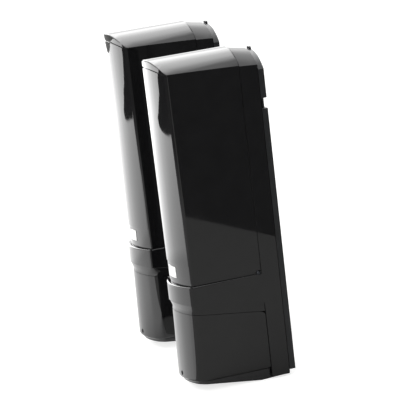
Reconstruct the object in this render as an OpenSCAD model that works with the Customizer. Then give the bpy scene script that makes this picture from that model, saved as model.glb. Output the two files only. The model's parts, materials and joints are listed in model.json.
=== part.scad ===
// Photoelectric beam barrier: a transmitter post and a receiver post for a wall or pole.
// Origin: middle of the transmitter's wall face. +Y points into the wall, -Y is the lens side, +Z is up.
// Inside a unit, heights are counted from the lowest point of the housing.

/* [Pair] */
// Sideways step from the transmitter to the receiver
pair_step_x = 252; // [200:1:600]
// Step of the receiver towards the wall side
pair_step_y = 38; // [0:1:60]

/* [Body] */
// Width of the collar and the rear housing
body_w = 83; // [82:0.5:88]
// Height from the underside's lowest point to the roof crest
body_h = 452; // [445:1:465]
// Depth from the wall face to the front of the collar
body_d = 149.5; // [142:0.5:158]
// Distance of the side seams from the wall face
seam_y = 34; // [32:0.5:36]
// Wall of the moulded shells
wall = 2.6; // [2.2:0.1:3]
// How far the front faces bow forward of their ridges
nose_rise = 12; // [5:0.5:14]
// Radius of the upright ridges
ridge_r = 6; // [5:0.5:7]
// Gap between covers and the shells that they meet
seam_gap = 0.5; // [0.4:0.05:0.8]
// Slope of the slanted lines on the housing, in degrees
line_slant = 7.3; // [5:0.1:9]

/* [Roof] */
// Drop of the roof from its crest to the side at the front ridge
roof_drop_front = 17.5; // [15:0.5:20]
// Drop of the roof from its crest to the side at the seam
roof_drop_seam = 22; // [20:0.5:24]
// Drop of the rear housing's roof crest below the cover's at the seam
rim_step = 1.5; // [1:0.1:2]
// Fall of the rear housing's crest from the seam to its back
rear_fall = 4.5; // [3:0.5:6]
// Drop from the rear housing's crest to its side at the back
roof_drop_rear = 19; // [17:0.5:21]
// Drop of the front slit's crest below the roof's crest
brow_drop = 9.5; // [8:0.5:11]
// Radius of the front slit's arc
slit_r = 103; // [98:1:120]
// Height of the slit under the brow
slit_h = 2; // [1.5:0.1:2.5]
// Depth of the slit under the brow
slit_depth = 1.4; // [1:0.1:1.6]

/* [Front cover] */
// Inset of the front cover's sides from the body width
cover_inset = 1; // [0.8:0.1:1.5]
// Setback of the front cover's foot behind the collar's front
cover_setback = 3.5; // [3:0.1:5]
// Forward lean of the front cover, in degrees
cover_lean = 0.7; // [0.3:0.1:0.7]
// Height of the collar's top ledge
ledge_z = 146.75; // [144:0.25:149]
// Open groove between the ledge and the cover's skin
groove_h = 3.75; // [3:0.25:5]
// Height of the band's top line at the front
band_z = 177; // [172:1:182]
// Recess of the band on the cover's foot
band_step = 0.8; // [0.5:0.1:1]
// Inset of the skirt behind the cover's skin
skirt_inset = 1.9; // [1.7:0.1:2.1]
// Thickness of the skirt
skirt_t = 1.5; // [1.2:0.1:2]
// Width of the blank label plate
label_w = 25; // [18:1:32]
// Height of the blank label plate
label_h = 15; // [10:1:18]
// Thickness of the blank label plate
label_t = 0.6; // [0.4:0.1:1]

/* [Collar and lower cover] */
// Height of the collar's lower line at the front
collar_z = 122; // [119:1:126]
// Height of the soft blend under the collar
blend_h = 9; // [7:0.5:11]
// Height of the lower seam at the front
lower_seam_z = 109; // [106:0.5:112]
// Inset of the lower cover's sides from the body width
lower_inset = 1.5; // [1.2:0.1:2]
// Setback of the lower cover's front behind the collar's front
lower_setback = 3.5; // [3:0.1:7]
// Backward taper of the lower cover, in degrees
lower_taper = 0.9; // [0:0.1:1]
// Height of the lower cover's bottom edge
lower_z = 15; // [14.8:0.1:17]
// Radius of the lower cover's upright ridges
lower_ridge_r = 17; // [8:0.5:19]
// Radius of the lower cover's upper rear corners
lower_corner_r = 5; // [3:0.5:6]
// Thickness of the deck between the two bays
deck_t = 3; // [2.5:0.5:4]
// Setback of the bottom cap behind the lower cover's faces
cap_inset = 4; // [3:0.5:6]
// Height of the bottom cap's underside at its front
cap_front_z = 10.5; // [9.5:0.5:12.5]
// Distance of the underside's lowest line from the wall face
low_line_y = 48; // [24:1:52]
// Height of the rear housing's underside
rear_z = 3; // [2.5:0.5:8]
// Radius of the latch studs
stud_r = 2.7; // [2.3:0.1:2.9]
// Distance of the latch studs in front of the side seam
stud_ahead = 4; // [3.5:0.1:4.5]

/* [Wall plate] */
// Depth of the wall plate
plate_d = 8; // [7:0.5:9]
// Wall of the plate
plate_t = 3; // [2.5:0.5:3.5]
// Height of the plate's lower edge
plate_z = 8.5; // [6:0.5:18]
// Drop of the plate's arched crest below the housing's crest
plate_drop = 9; // [8:0.5:14]
// Gap between the plate and the rear housing
plate_gap = 0.9; // [0.6:0.1:1.2]
// Distance of the flange notch's foot below the housing's crest
notch_drop = 84; // [80:1:102]
// Length of the notch
notch_h = 14; // [8:1:18]
// Depth of the notch
notch_d = 12; // [3:0.5:14]
// Height of the hanging hook on the plate's crest
hook_h = 3.5; // [3:0.5:7]
// Width of the hanging hook
hook_w = 8; // [8:1:16]
// Distance of each wall screw hole from the housing's end
wall_hole_inset = 61; // [58:1:66]
// Radius of the wall screw holes
wall_hole_r = 2.4; // [2:0.1:3]
// Radius of the cable entry's bore
cable_r = 5; // [4:0.5:6]
// Height of the cable entry
cable_z = 168; // [164:1:176]

/* [Optical head] */
// Room between the main board and the yoke
head_low_gap = 12.25; // [12:0.25:14]
// Room between the yoke and the top of the chassis plate
head_top_gap = 30.2; // [28:0.1:32]
// Distance of the pan axis behind the middle of the upper bay
pan_setback = 2.95; // [1:0.05:4]
// Room between a cheek of the yoke and the front cover
head_side_gap = 7.9; // [7:0.1:10]
// Gap between a lens case and the sight block
sight_gap = 6; // [4:0.5:8]
// Room in front of and behind a lens case in the upper bay
head_end_gap = 26.45; // [26:0.05:28]
// Wall of a lens case
case_t = 2; // [1.5:0.5:2.5]
// Radius of the lens front
lens_r = 70; // [60:5:90]
// Thickness of a cheek of the yoke
cheek_t = 3; // [2.5:0.5:3.5]
// Gap between a lens case and a cheek
cheek_gap = 3; // [2:0.5:3.5]
// Depth of a cheek of the yoke
cheek_d = 22; // [18:1:26]
// Radius of the tilt trunnions
tilt_pin_r = 3; // [2.5:0.5:4]
// Radius of the pan trunnions
pan_pin_r = 5; // [4:0.5:6]
// Room between the horizontal thumb ring and the front cover
ring_gap = 4.9; // [4:0.1:7]
// Number of grips on the thumb ring
ring_grips = 30; // [18:2:40]
// Running clearance of every turning fit
run_gap = 0.05; // [0.03:0.01:0.08]
// Radius of the tilt wheel
wheel_r = 8; // [7:0.5:9]

/* [Boards and switches] */
// Inset of the main board from the chassis plate's edges
board_inset = 2.4; // [2:0.1:5]
// Height of the main board
board_h = 56; // [50:1:58]
// Thickness of the main board
board_t = 1.6; // [1.2:0.1:2]
// Number of terminals
terminal_count = 8; // [6:1:9]
// Radius of the setting dials
dial_r = 6; // [5:0.5:6.5]
// Travel of the tamper plunger
plunger_travel = 2.5; // [1.5:0.5:3]
// Clearance between the tamper plunger and the inside of the front cover
plunger_clear = 3; // [2:0.1:4]

/* [Battery bay] */
// Room between the battery tray and the lower cover's sides
bay_side_gap = 1.6; // [1.6:0.1:4]
// Least room between the battery tray and the lower cover's front ridges
bay_front_gap = 4; // [3:0.5:8]
// Length of a battery cell
cell_h = 61.5; // [50:0.5:62]

/* [Hidden] */
$fn = 96;
fine_fn = 360;
over = 1;
half_w = body_w / 2;
mid_z = body_h / 2;
cover_half = half_w - cover_inset;
lower_half = half_w - lower_inset;
nose_r = (half_w * half_w + nose_rise * nose_rise) / (2 * nose_rise);
cover_nose = body_d - cover_setback;
lower_nose = body_d - lower_setback;
ridge_y = cover_nose - nose_rise;
cover_back = seam_y + seam_gap;
cover_z = ledge_z + groove_h;
skirt_z = ledge_z + 0.85 * seam_gap;
deck_z = ledge_z - deck_t;
stud_y = seam_y + stud_ahead;
stud_z = ledge_z + stud_r / 2;
roof_r_front = (cover_half * cover_half + roof_drop_front * roof_drop_front) / (2 * roof_drop_front);
roof_r_seam = (cover_half * cover_half + roof_drop_seam * roof_drop_seam) / (2 * roof_drop_seam);
rear_r_seam = (half_w * half_w + roof_drop_seam * roof_drop_seam) / (2 * roof_drop_seam);
rear_r_back = (half_w * half_w + roof_drop_rear * roof_drop_rear) / (2 * roof_drop_rear);
rear_crest = body_h - rim_step;
plate_top = body_h - plate_drop;
notch_z = body_h - notch_drop;
rear_back = plate_d + plate_gap;
housing_back = plate_d;
blend_lip = seam_gap;
seal_in = wall / 2.6;
seal_t = wall / 2.6;
seal_depth = 1.5;
seal_proud = 0.2;
screw_r = 1.5;
screw_head_r = 3;
screw_head_h = 2.2;
cover_screw_z = lower_z + 3 * wall;
cover_screw_len = 5 * wall;
cover_screw_end = lower_nose - wall - cover_screw_len;
arch_floor = body_h - roof_r_front;
cover_roof = [[-ridge_y, body_h, roof_r_front], [-seam_y, body_h, roof_r_seam]];
rear_roof = [[-seam_y, rear_crest, rear_r_seam], [-plate_d, rear_crest - rear_fall, rear_r_back]];
plate_roof = [[-plate_d, plate_top, rear_r_seam], [0, plate_top, rear_r_seam]];

// Chassis plate
chassis_t = 2.5;
chassis_y = seam_y + 2;
chassis_half = half_w - wall - 3 * cover_inset - seam_gap;
chassis_top = body_h - roof_drop_seam - 3 * wall;
chassis_z = ledge_z + 0.2 * chassis_t;
sight_half_z = 8;
sight_half_y = 10;
case_step = 4;

// Boards
board_y = chassis_y + chassis_t + 2 * chassis_t;
board_z = chassis_z + 5 * chassis_t;
board_w = 2 * (chassis_half - board_inset);
board_face = board_y + board_t;
block_h = 12;
block_d = 14;
block_z = board_z + 2 * board_t;
terminal_pitch = (board_w - 2 * board_t) / (terminal_count + 1);
terminal_r = terminal_pitch / 4;
dial_shaft_r = dial_r / 3;
dial_body = 2.3 * dial_r;
dial_body_d = dial_r;
dial_h = dial_r;
dial_z = board_z + board_h - dial_body;
dial_x = board_w / 3.3;
led_r = 1.5;
led_h = 5;
plunger_r = 2;
plunger_len = 9;
tamper_half = 8;
tamper_h = 12;
tamper_d = 14;
tamper_z = ledge_z + tamper_h / 1.6;
plunger_tip = cover_nose - wall - plunger_clear;
tamper_face = plunger_tip - plunger_len + plunger_travel;

// Optical head, centred in the upper bay
head_bay = cover_nose - nose_rise - wall - chassis_y - chassis_t;
pan_y = chassis_y + chassis_t + head_bay / 2 - pan_setback;
case_half = cover_half - wall - head_side_gap - cheek_t - cheek_gap;
case_w = 2 * case_half;
case_d = min(head_bay - 2 * head_end_gap, case_w - 2 * case_step);
cheek_x = case_half + cheek_gap;
tilt_room = 5;
yoke_plate_t = cheek_t;
yoke_low = board_z + board_h + head_low_gap;
yoke_top = chassis_top - head_top_gap;
yoke_half_z = (yoke_top - yoke_low) / 2;
head_z = yoke_low + yoke_half_z;
case_h = yoke_half_z - yoke_plate_t - tilt_room - sight_half_z - sight_gap;
lens_pitch = case_h + 2 * (sight_half_z + sight_gap);
ring_r = min(cover_half - wall, head_bay / 2 - pan_setback) - ring_gap;
bracket_t = cheek_t;
bracket_gap = 0.1 * bracket_t;
pin_len = bracket_t + 2 * bracket_gap;
wheel_shaft_r = 2;
wheel_t = 4;
wheel_grips = 16;
channel_grips = 16;
power_grips = 12;
timer_grips = 10;

// Battery bay: the cells are the largest that fit it both ways
bay_z = lower_z + 2 * wall;
tray_t = 2;
cell_gap = 0.4;
tray_back = seam_y + 4 * wall;
cell_fit_x = lower_half - wall - bay_side_gap - tray_t - 2 * cell_gap;
bay_front = min(lower_nose - nose_rise - wall - bay_front_gap, cover_screw_end - cell_gap);
cell_fit_y = bay_front - tray_back - 2 * tray_t - 3 * cell_gap;
cell_r = min(cell_fit_x / 2, cell_fit_y / 4);
cell_step = 2 * cell_r + cell_gap;
tray_half_x = cell_step + tray_t + cell_gap;
tray_front = tray_back + 2 * cell_step + 2 * tray_t + cell_gap;
cell_z = bay_z + tray_t + 4 * cell_gap;

shell_black = "#1b1b1c";
inner_grey = "#6f7275";
dark_grey = "#3a3c3e";
board_green = "#1f5a35";
steel = "#b9bcc0";

// Places a unit: the transmitter at the origin, the receiver beside it
module tx() {
    translate([0, 0, -mid_z]) children();
}

module rx() {
    translate([-pair_step_x, pair_step_y, -mid_z]) children();
}

// A box between two corners
module span(low, high) {
    translate(low) cube(high - low);
}

// A rod along Y from the nearer to the farther distance in front of the wall face
module rod_y(r, near, far) {
    translate([0, -near, 0]) rotate([90, 0, 0]) cylinder(r = r, h = far - near);
}

// A rod along X, centred
module rod_x(r, low, high) {
    translate([low, 0, 0]) rotate([0, 90, 0]) cylinder(r = r, h = high - low);
}

// Plan of a shell: straight sides, bowed front and rounded ridges, inset evenly
module plan(side, nose, inset, ridge) {
    w = side - inset;
    r = nose_r - inset;
    k = max(ridge - inset, over / 2);
    centre_y = -nose + nose_r;
    k_x = w - k;
    k_y = centre_y - sqrt((r - k) * (r - k) - k_x * k_x);
    reach = (r + over) / (r - k);
    tip = [k_x * reach, centre_y + (k_y - centre_y) * reach];
    difference() {
        intersection() {
            translate([0, centre_y]) circle(r = r, $fn = fine_fn);
            translate([-w, -nose]) square([2 * w, nose]);
        }
        for (hand = [-1, 1]) scale([hand, 1]) difference() {
            polygon([[k_x, k_y], [w + over, k_y], [w + over, tip[1]], tip]);
            translate([k_x, k_y]) circle(r = k);
        }
    }
}

// An upright prism on a plan, leaned about the foot of its front face
module prism(side, nose, inset, lean, foot, low, high, ridge = ridge_r) {
    translate([0, -nose, foot]) rotate([lean, 0, 0]) translate([0, nose, low - foot])
        linear_extrude(height = high - low) plan(side, nose, inset, ridge);
}

// The solid under a tapering arch, given as two stations of [y, crest height, radius]
module arch(stations, inset) {
    near = stations[0];
    far = stations[1];
    run = norm([far[0] - near[0], far[1] - near[1]]);
    taper = asin((far[2] - near[2]) / run);
    rise = atan2(far[1] - near[1], far[0] - near[0]) - taper;
    ext = 20 * over;
    translate([0, near[0], near[1]]) rotate([rise - 90, 0, 0]) translate([0, near[2], -ext])
        cylinder(h = run * cos(taper) + 2 * ext, r1 = near[2] - inset - ext * tan(taper),
            r2 = far[2] - inset + ext * tan(taper), $fn = fine_fn);
}

// Everything under a slanted line that has the given height at the collar's front
module under_line(z) {
    translate([0, -body_d, z]) rotate([-line_slant, 0, 0])
        translate([-body_w, -body_d, -body_h]) cube([2 * body_w, 3 * body_d, body_h]);
}

// Upper cover's full block, inset evenly, open or trimmed behind
module cover_block(inset, low, back) {
    intersection() {
        prism(cover_half, cover_nose, inset, cover_lean, ledge_z, low - wall * 3, body_h + over);
        union() {
            arch(cover_roof, inset);
            span([-body_w, -2 * body_d, 0], [body_w, 0, arch_floor]);
        }
        span([-body_w, -2 * body_d, low], [body_w, -back, body_h + over]);
    }
}

module front_cover() {
    color(shell_black) difference() {
        union() {
            cover_block(band_step, cover_z, cover_back);
            difference() {
                cover_block(0, cover_z, cover_back);
                under_line(band_z);
            }
            cover_block(skirt_inset, skirt_z, cover_back);
        }
        cover_block(wall, cover_z + skirt_t, 0);
        cover_block(skirt_inset + skirt_t, 0, 0);
        brow_slit();
        stud_notches();
    }
}

// The slit that sets the roof's brow off from the front face
module brow_slit() {
    difference() {
        intersection() {
            slit_rod(0);
            span([-body_w, -2 * body_d, arch_floor], [body_w, -ridge_y, body_h]);
        }
        slit_rod(slit_h);
        cover_block(slit_depth, 0, 0);
    }
}

// The space under the slit's arc, inset evenly
module slit_rod(inset) {
    translate([0, 0, body_h - brow_drop - slit_r])
        rod_y(slit_r - inset, ridge_y - over, 2 * body_d, $fn = fine_fn);
}

// Clearance in the cover round the latch studs, open to the rear
module stud_notches() {
    for (hand = [-1, 1]) translate([hand * (cover_half + over), 0, 0])
        span([-3 * wall, -stud_y - stud_r - seam_gap, 0], [3 * wall, 0, stud_z + stud_r + seam_gap]);
}

module label_plate() {
    color("#e6e6e4") intersection() {
        difference() {
            cover_block(band_step - label_t, cover_z, cover_back);
            cover_block(band_step, 0, 0);
        }
        translate([-label_w / 2, -body_d, (cover_z + band_z - label_h) / 2])
            cube([label_w, body_d / 2, label_h]);
    }
}

// Rear shell, collar and deck in one moulding
module rear_housing() {
    color(shell_black) difference() {
        union() {
            rear_shell();
            collar();
            ear_blocks();
            chassis_bosses();
        }
        wiring_ways();
        stud_pockets();
        seal_groove();
    }
}

// The shell between the seams and the wall plate
module rear_shell() {
    difference() {
        rear_block(0, rear_z, -seam_y, -housing_back);
        rear_block(wall, rear_z + wall, -seam_y - over, -housing_back - wall);
        rear_edge();
    }
}

// The rear block, inset evenly, between two planes
module rear_block(inset, low, front, back) {
    intersection() {
        span([-half_w + inset, front, low], [half_w - inset, back, body_h]);
        union() {
            arch(rear_roof, inset);
            span([-body_w, -2 * body_d, 0], [body_w, 0, arch_floor]);
        }
    }
}

// The shadow groove where the rear shell meets the wall plate
module rear_edge() {
    difference() {
        rear_block(-over, 0, -rear_back, 0);
        rear_block(wall / 2, rear_z + wall / 2, -2 * rear_back, over);
    }
}

module collar() {
    difference() {
        union() {
            difference() {
                collar_prism(0, 0, ledge_z);
                under_line(collar_z);
            }
            collar_blend();
            intersection() {
                neck_prism(0, 0, collar_z);
                difference() {
                    under_line(collar_z + blend_lip / 2);
                    under_line(lower_seam_z + seam_gap);
                }
            }
        }
        neck_prism(wall, 0, deck_z);
        difference() {
            collar_prism(wall, 0, deck_z);
            under_line(collar_z + wall);
        }
    }
}

module collar_prism(inset, low, high) {
    intersection() {
        prism(half_w, body_d, inset, 0, 0, low, high);
        span([-body_w, -2 * body_d, low], [body_w, -seam_y + over, high]);
    }
}

module neck_prism(inset, low, high) {
    intersection() {
        prism(lower_half, lower_nose, inset, 0, 0, low, high, lower_ridge_r);
        span([-body_w, -2 * body_d, low], [body_w, -seam_y + over, high]);
    }
}

// The soft blend from the collar down to the neck
module collar_blend() {
    hull() {
        blend_slice(collar_z) collar_prism(blend_lip, 0, ledge_z);
        blend_slice(collar_z - blend_h - over) neck_prism(over, 0, ledge_z);
    }
}

// A thin slanted slice of a prism
module blend_slice(z) {
    intersection() {
        children();
        difference() {
            under_line(z + blend_lip);
            under_line(z);
        }
    }
}

// Ears behind the groove that carry the latch studs
module ear_blocks() {
    for (hand = [-1, 1]) scale([hand, 1, 1]) span([cover_half - 1.6 * wall, -stud_y - stud_r, deck_z],
        [cover_half - 0.3 * wall, -seam_y + over, cover_z - seam_gap]);
}

module stud_pockets() {
    for (hand = [-1, 1]) translate([0, -stud_y, stud_z]) scale([hand, 1, 1])
        rod_x(stud_r, cover_half - wall / 4, half_w + over);
}

// A screw from the chassis seats in each boss
module chassis_bosses() {
    at_chassis_screws() rod_y(2 * wall, housing_back + wall / 2, chassis_y);
}

module at_chassis_screws() {
    for (x = [-1, 1], z = [chassis_z + 3 * wall, chassis_top - 8 * wall])
        translate([x * (chassis_half - 3 * wall), 0, z]) children();
}

// The deck's wiring slot and the cable entry
module wiring_ways() {
    span([-half_w / 2, -seam_y - 5 * wall, deck_z - over], [half_w / 2, -seam_y + 2 * wall, ledge_z + over]);
    translate([0, 0, cable_z]) rod_y(cable_r + wall, 0, seam_y);
    at_chassis_screws() rod_y(screw_r, housing_back + wall, body_d / 2);
}

module seal_groove() {
    seal_ring(-seam_y - over, -seam_y + seal_depth);
}

// The arched gasket line in the rear housing's front rim
module seal_ring(front, back) {
    difference() {
        rear_block(cover_inset + seal_in - cover_inset / 2, ledge_z + groove_h, front, back);
        rear_block(cover_inset + seal_in + seal_t - cover_inset / 2, 0, front - over, back + over);
    }
}

module cover_seal() {
    color("#222222") seal_ring(-seam_y - seal_proud, -seam_y + seal_depth);
}

module latch_studs() {
    color(steel) for (hand = [-1, 1]) translate([0, -stud_y, stud_z]) scale([hand, 1, 1]) {
        rod_x(stud_r, cover_half - wall / 4, half_w - cover_inset / 2);
        rod_x(stud_r * 0.8, half_w - cover_inset, half_w);
    }
}

// Lower cover: its top edge follows the slanted line, so it lifts straight off forwards
module lower_block(inset, top) {
    intersection() {
        prism(lower_half, lower_nose, inset, -lower_taper, lower_seam_z, 0, collar_z, lower_ridge_r);
        span([-body_w, -2 * body_d, lower_z], [body_w, -cover_back, collar_z]);
        under_line(top);
    }
}

module lower_cover() {
    color(shell_black) difference() {
        lower_block(0, lower_seam_z);
        intersection() {
            prism(lower_half, lower_nose, wall, -lower_taper, lower_seam_z, 0, collar_z + over,
                lower_ridge_r);
            span([-body_w, -2 * body_d, lower_z + wall], [body_w, 0, collar_z + over]);
        }
        corner_cuts();
        translate([0, 0, cover_screw_z]) rod_y(screw_head_r + seam_gap / 5, lower_nose - wall, body_d);
        translate([0, 0, cover_screw_z]) rod_y(screw_r + seam_gap / 5, 0, body_d);
    }
    color(shell_black) translate([0, 0, cover_screw_z]) difference() {
        rod_y(screw_head_r + wall, lower_nose - 4 * wall, lower_nose - 1.2 * wall);
        rod_y(screw_r + seam_gap / 5, 0, body_d);
        rod_y(screw_head_r + seam_gap / 5, lower_nose - wall - screw_head_h, body_d);
    }
}

// Round corners where the lower seam turns down into the side seam
module corner_cuts() {
    corner_z = lower_seam_z - (body_d - cover_back) * tan(line_slant);
    translate([-body_w, -cover_back - lower_corner_r, corner_z - lower_corner_r]) difference() {
        cube([2 * body_w, 2 * lower_corner_r, 3 * lower_corner_r]);
        rotate([0, 90, 0]) cylinder(r = lower_corner_r, h = 2 * body_w);
        translate([0, -over, 0]) cube([2 * body_w, over, 3 * lower_corner_r]);
    }
}

module cover_screw() {
    color(steel) translate([0, 0, cover_screw_z]) difference() {
        union() {
            rod_y(screw_head_r, lower_nose - wall - screw_head_h, lower_nose - wall / 2 - screw_head_h / 2);
            rod_y(screw_r, cover_screw_end, lower_nose - wall);
        }
        screw_slot(lower_nose - wall / 2 - screw_head_h / 2);
    }
}

// A cross slot in a screw head whose face is at the given distance
module screw_slot(face) {
    for (turn = [0, 90]) rotate([0, turn, 0])
        translate([-screw_r, -face - over, -screw_r / 5])
        cube([2 * screw_r, over + screw_head_h / 2, screw_r / 2.5]);
}

// Bottom cap: a tray with the slanted underside, seen from the side
module cap_profile() {
    polygon([
        [-low_line_y, 0],
        [-plate_d, rear_z - wall / 2],
        [-plate_d, rear_z],
        [-seam_y, rear_z],
        [-seam_y, lower_z - seam_gap],
        [-lower_nose, lower_z - seam_gap],
        [-lower_nose, cap_front_z],
        [-lower_nose + 5 * wall, cap_front_z]
    ]);
}

module cap_hollow_profile() {
    polygon([
        [-seam_y - wall, wall],
        [-seam_y - wall, lower_z],
        [-lower_nose + 5 * wall, lower_z],
        [-lower_nose + 5 * wall, cap_front_z + 0.9 * wall]
    ]);
}

module cap_block(inset) {
    intersection() {
        prism(lower_half, lower_nose, cap_inset + inset, 0, 0, -over, 2 * lower_z, lower_ridge_r);
        translate([-half_w, 0, 0]) rotate([90, 0, 90]) linear_extrude(height = body_w) children();
    }
}

module bottom_cap() {
    color(dark_grey) difference() {
        cap_block(0) cap_profile();
        cap_block(wall) cap_hollow_profile();
    }
}

// Wall plate: a shallow tray with an arched top, open towards the housing
module plate_block(inset, front) {
    intersection() {
        span([-half_w + inset, front, plate_z + inset], [half_w - inset, 0, body_h]);
        union() {
            arch(plate_roof, inset);
            span([-body_w, -2 * body_d, 0], [body_w, 0, arch_floor]);
        }
    }
}

module mount_plate() {
    color("#242425") difference() {
        union() {
            difference() {
                plate_block(0, -plate_d);
                difference() {
                    plate_block(plate_t, -2 * plate_d);
                    span([-body_w, -plate_t, 0], [body_w, 0, body_h]);
                }
            }
            plate_ribs();
            hanging_hook();
        }
        flange_notches();
        at_wall_holes() rod_y(wall_hole_r, -over, body_d);
        translate([0, 0, cable_z]) rod_y(cable_r + wall, -over, body_d);
    }
}

module plate_ribs() {
    rib_pitch = (plate_top - plate_z) / 8;
    for (i = [1:6]) span([-half_w + plate_t / 2, -plate_d + over, plate_z + i * rib_pitch],
        [half_w - plate_t / 2, -plate_t / 2, plate_z + i * rib_pitch + plate_t / 2]);
    at_wall_holes() rod_y(3 * wall_hole_r, 0, plate_d - over);
    translate([0, 0, cable_z]) rod_y(cable_r + 2 * wall, 0, plate_d);
}

module at_wall_holes() {
    for (side = [-1, 1]) translate([0, 0, mid_z + side * (mid_z - wall_hole_inset)]) children();
}

module flange_notches() {
    for (hand = [-1, 1]) translate([hand * half_w, 0, 0])
        span([-notch_d, -plate_d - over, notch_z], [notch_d, over, notch_z + notch_h]);
}

// The hook on the crest that hangs the plate while it is screwed down
module hanging_hook() {
    difference() {
        span([-hook_w / 2, -plate_t, plate_top - hook_h], [hook_w / 2, 0, plate_top + hook_h]);
        for (hand = [-1, 1]) translate([hand * hook_w / 2, 0, plate_top + hook_h]) rotate([0, 45, 0])
            cube([hook_h / 2, 3 * plate_d, hook_h / 2], center = true);
    }
}

module cable_grommet() {
    color("#1d1d1d") translate([0, 0, cable_z]) difference() {
        union() {
            rod_y(cable_r + wall, 0, housing_back + 2 * wall);
            rod_y(cable_r + 2 * wall, housing_back + wall, housing_back + 2 * wall);
        }
        rod_y(cable_r, -over, body_d);
    }
}

// Chassis plate with two arms that carry the pan bearings
module chassis() {
    color(inner_grey) difference() {
        union() {
            span([-chassis_half, -chassis_y - chassis_t, chassis_z],
                [chassis_half, -chassis_y, chassis_top]);
            bearing_arm(yoke_low - bracket_gap - bracket_t);
            bearing_arm(yoke_top + bracket_gap);
            side_flanges();
            board_posts();
            terminal_shelf();
        }
        pan_bores();
        at_chassis_screws() rod_y(screw_r + seam_gap / 5, 0, body_d / 2);
        wire_window();
    }
}

// One bearing arm with gussets under or over it
module bearing_arm(z) {
    arm_half = 3 * pan_pin_r;
    translate([0, 0, z]) {
        translate([0, -pan_y, 0]) cylinder(r = arm_half, h = bracket_t);
        span([-arm_half, -pan_y, 0], [arm_half, -chassis_y - chassis_t / 2, bracket_t]);
    }
    away = z > head_z ? 1 : -1;
    for (x = [-arm_half, arm_half - chassis_t]) translate([x, 0, z + bracket_t / 2]) scale([1, 1, away])
        rotate([90, 0, 90]) linear_extrude(height = chassis_t)
        polygon([[-chassis_y - chassis_t / 2, 0], [-pan_y + pan_pin_r, 0],
            [-chassis_y - chassis_t / 2, arm_half / 2]]);
}

module pan_bores() {
    for (z = [yoke_low - bracket_gap - bracket_t - over, yoke_top + bracket_gap - over])
        translate([0, -pan_y, z]) cylinder(r = pan_pin_r + run_gap, h = bracket_t + 2 * over);
}

module side_flanges() {
    for (x = [-chassis_half, chassis_half - chassis_t])
        span([x, -chassis_y - 3 * chassis_t, chassis_z], [x + chassis_t, -chassis_y, chassis_top]);
}

module board_posts() {
    for (x = [-1, 1], z = [board_z + 2 * chassis_t, board_z + board_h - 2 * chassis_t])
        translate([x * (board_w / 2 - 2 * chassis_t), 0, z]) rod_y(chassis_t, chassis_y, board_y);
}

module terminal_shelf() {
    span([-chassis_half, -board_face - block_d, chassis_z],
        [chassis_half, -chassis_y - chassis_t / 2, chassis_z + chassis_t]);
}

module wire_window() {
    span([-chassis_half / 2, -chassis_y - chassis_t - over, head_z - lens_pitch / 4],
        [chassis_half / 2, -chassis_y + over, head_z + lens_pitch / 4]);
    translate([0, 0, cable_z]) rod_y(cable_r + wall, 0, board_y);
}

module main_board() {
    color(board_green) difference() {
        span([-board_w / 2, -board_face, board_z], [board_w / 2, -board_y, board_z + board_h]);
        for (x = [-1, 1], z = [board_z + 2 * board_t, board_z + board_h - 2 * board_t])
            translate([x * (board_w / 2 - 2 * board_t), 0, z]) rod_y(board_t, 0, body_d);
    }
}

// Component bodies, connectors and the two potentiometer bodies, each on the board's face
module board_parts() {
    chip = board_h / 6;
    // The lower row stands clear of the terminal block
    row_z = max(dial_z - 2.7 * chip, block_z + block_h + board_t / 2);
    color("#26282a") {
        translate([-chip, 0, 0]) span([0, -board_face - 2 * board_t, dial_z - chip],
            [2 * chip, -board_face, dial_z + chip / 2]);
        for (i = [0:3]) translate([-board_w / 2.4 + i * chip * 0.8, 0, row_z + 0.3 * chip])
            rod_y(chip / 3, board_face, board_face + chip);
        translate([chip / 2, 0, row_z]) span([0, -board_face - chip / 2, 0],
            [2.6 * chip, -board_face, chip]);
    }
    color(dark_grey) for (x = [-dial_x, dial_x]) translate([x, 0, dial_z]) difference() {
        span([-dial_body / 2, -board_face - dial_body_d, -dial_body / 2],
            [dial_body / 2, -board_face, dial_body / 2]);
        rod_y(dial_shaft_r + run_gap, board_face + dial_body_d / 3, body_d);
    }
}

// A knurled setting dial with a pointer slot
module setting_dial(x, grips) {
    face = board_face + dial_body_d + dial_h + 2 * run_gap;
    color("#d9d9d6") translate([x, 0, dial_z]) difference() {
        union() {
            rod_y(dial_r, board_face + dial_body_d + 2 * run_gap, face);
            rod_y(dial_shaft_r, board_face + dial_body_d / 2, face - dial_h / 2);
        }
        for (i = [0:grips - 1]) rotate([0, i * 360 / grips, 0]) translate([dial_r, 0, 0])
            rod_y(dial_r / 10, 0, body_d);
        span([-dial_r / 8, -face - over, -dial_r * 0.7], [dial_r / 8, -face + dial_h / 3, dial_r * 0.7]);
    }
}

module terminal_block() {
    color("#2c5f3c") difference() {
        span([-board_w / 2 + board_t, -board_face - block_d, block_z],
            [board_w / 2 - board_t, -board_face, block_z + block_h]);
        at_terminals() {
            rod_y(terminal_r + seam_gap / 5, board_face + block_d / 2, body_d);
            translate([0, -board_face - block_d, -block_h / 2])
                cube([2 * terminal_r, block_d, block_h / 2], center = true);
        }
    }
}

module at_terminals() {
    for (i = [1:terminal_count])
        translate([-board_w / 2 + board_t + i * terminal_pitch, 0, block_z + block_h / 2]) children();
}

module terminal_screws() {
    face = board_face + block_d - board_t;
    color(steel) at_terminals() difference() {
        rod_y(terminal_r, board_face + block_d / 2, face);
        span([-terminal_r, -face - over, -terminal_r / 5], [terminal_r, -face + board_t / 2, terminal_r / 5]);
    }
}

// Tamper switch on the deck, its plunger aimed at the inside of the front cover
module tamper_switch() {
    color("#1e2022") difference() {
        span([-tamper_half, -tamper_face, ledge_z],
            [tamper_half, -tamper_face + tamper_d, ledge_z + tamper_h]);
        translate([0, 0, tamper_z]) rod_y(plunger_r + run_gap, tamper_face - 0.7 * tamper_d, body_d);
    }
}

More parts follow.
